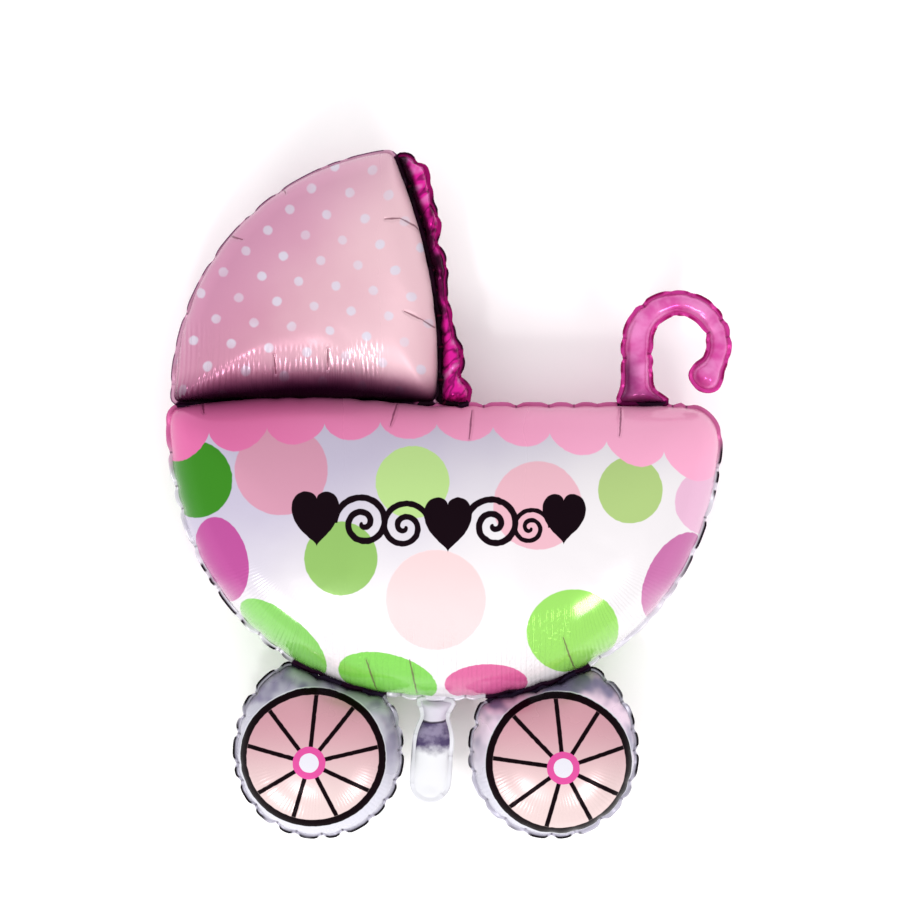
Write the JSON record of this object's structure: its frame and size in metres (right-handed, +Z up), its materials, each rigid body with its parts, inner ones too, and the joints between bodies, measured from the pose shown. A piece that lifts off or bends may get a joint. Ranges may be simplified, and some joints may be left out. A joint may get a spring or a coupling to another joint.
{
  "type": "pram foil balloon",
  "caption": "Foil balloon shaped like an old-fashioned pram seen from the side, with round wheels, a quarter-round hood and a hooked handle.",
  "frame": {"origin": "On the floor under the middle of the balloon's outline", "axes": "The balloon lies on its back. +Z points up out of its front, +Y runs from the wheels to the hood, +X runs from the hood to the handle"},
  "size_m": [0.5662, 0.689, 0.1756],
  "materials": {
    "printed_foil": "printed metallised film, glossy, pale pink over silver"
  },
  "bodies": {
    "root": {"foil_balloon": "printed_foil"}
  },
  "joints": []
}
